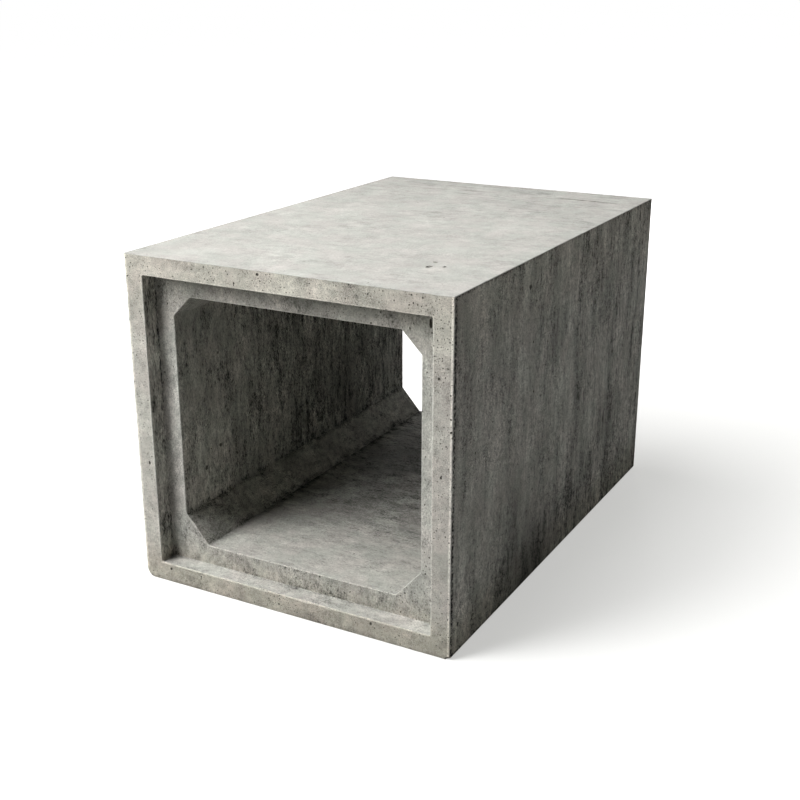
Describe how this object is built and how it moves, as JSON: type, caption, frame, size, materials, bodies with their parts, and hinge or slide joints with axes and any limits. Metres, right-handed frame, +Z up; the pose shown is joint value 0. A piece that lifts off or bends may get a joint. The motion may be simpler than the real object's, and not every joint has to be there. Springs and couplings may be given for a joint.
{
  "type": "box culvert",
  "caption": "Precast concrete box culvert unit with a near-square bore, haunched inner corners and a rebated joint in each end face.",
  "frame": {"origin": "centre of the underside, at the level of the bed", "axes": "+Z up; +Y along the bore, from the front end to the rear end; +X across the bore, to the right seen from the front"},
  "size_m": [0.8, 1.2, 0.78],
  "materials": {
    "concrete": "matt cast concrete, off the mould, with air holes and light staining"
  },
  "bodies": {
    "root": {"culvert_unit": "concrete"}
  },
  "joints": []
}
